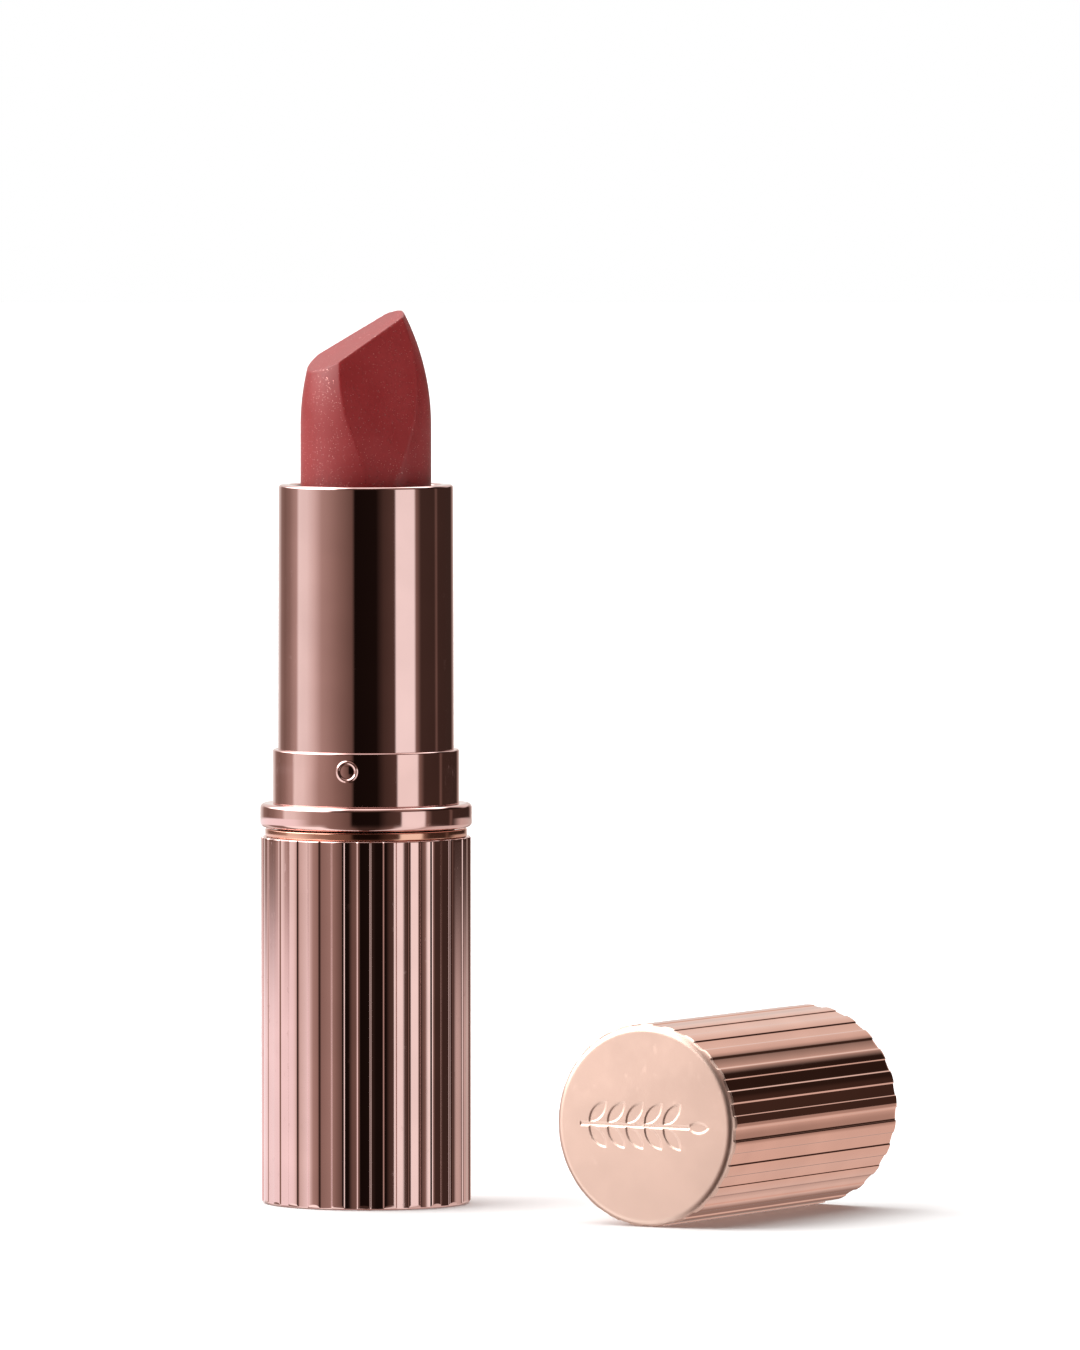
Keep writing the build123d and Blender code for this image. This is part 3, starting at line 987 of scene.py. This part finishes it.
# %% World and the direction of a ray
world = bpy.data.worlds.new("studio")
bpy.context.scene.world = world
world.use_nodes = True
tree = world.node_tree
tree.nodes.clear()
direction = add_node(tree, "ShaderNodeTexCoord", None, "Generated")
split = tree.nodes.new("ShaderNodeSeparateXYZ")
connect(tree, split.inputs[0], direction)
east, north, up = (Shade(tree, axis) for axis in split.outputs)
degree = 180 / math.pi
bearing = east.math("ARCTAN2", 0.0 - north) * degree
elevation = up.math("ARCSINE") * degree
print("world nodes for the direction:", len(tree.nodes))

# %% Studio
near_floor = elevation.between(-4.0, -3.2, 1.0, 0.0)
left_sweep = near_floor * bearing.between(-96, -62, 1.0, 0.0)
right_sweep = near_floor * bearing.between(108, 130)
under = elevation.between(-13, -7, 1.0, 0.0)
over = elevation.between(9, 16)
high_over = elevation.between(36, 44)
zenith = elevation.between(66, 74)

room = light_by_bearing(bearing, ring_stops)
room = left_sweep.mix(room, (1.04, 0.98, 1.0))
room = right_sweep.mix(room, room_colour(0.6))
room = under.mix(room, light_by_bearing(bearing, low_stops))
room = over.mix(room, light_by_bearing(bearing, high_stops))
room = high_over.mix(room, light_by_bearing(bearing, top_stops))
room = zenith.mix(room, room_colour(1.5))
camera_sees = add_node(tree, "ShaderNodeLightPath", None, "Is Camera Ray")
room = camera_sees.mix(room, (1.0, 1.0, 1.0))
background = add_node(tree, "ShaderNodeBackground", None, 0, Color=room, Strength=1.0)
output = tree.nodes.new("ShaderNodeOutputWorld")
connect(tree, output.inputs[0], background)
print("world nodes:", len(tree.nodes))

# %% [markdown]
# ## Camera
# The camera looks down a little: the foot is seen from about five degrees above and the sleeve's
# rim from about two. A long lens from far off keeps the case's sides parallel, where a short one
# from close up would make them lean.

# %% Camera
camera_distance = 1.40
camera_tilt = math.radians(2.6)
frame_height = 0.125
aim = Vector((0.01611, 0, 0.04894))
back = Vector((0, -math.cos(camera_tilt), math.sin(camera_tilt)))
camera_data = bpy.data.cameras.new("camera")
camera = bpy.data.objects.new("camera", camera_data)
bpy.context.scene.collection.objects.link(camera)
camera.location = aim + back * camera_distance
camera.rotation_euler = (-back).to_track_quat("-Z", "Y").to_euler()
camera_data.sensor_width = 36
camera_data.lens = camera_data.sensor_width * camera_distance / frame_height
print(f"lens {camera_data.lens:.0f} mm")
camera_data.clip_start = 0.01
camera_data.clip_end = 20
bpy.context.scene.camera = camera
bpy.context.scene.view_settings.view_transform = "Standard"

# %% Done
print("scene built")
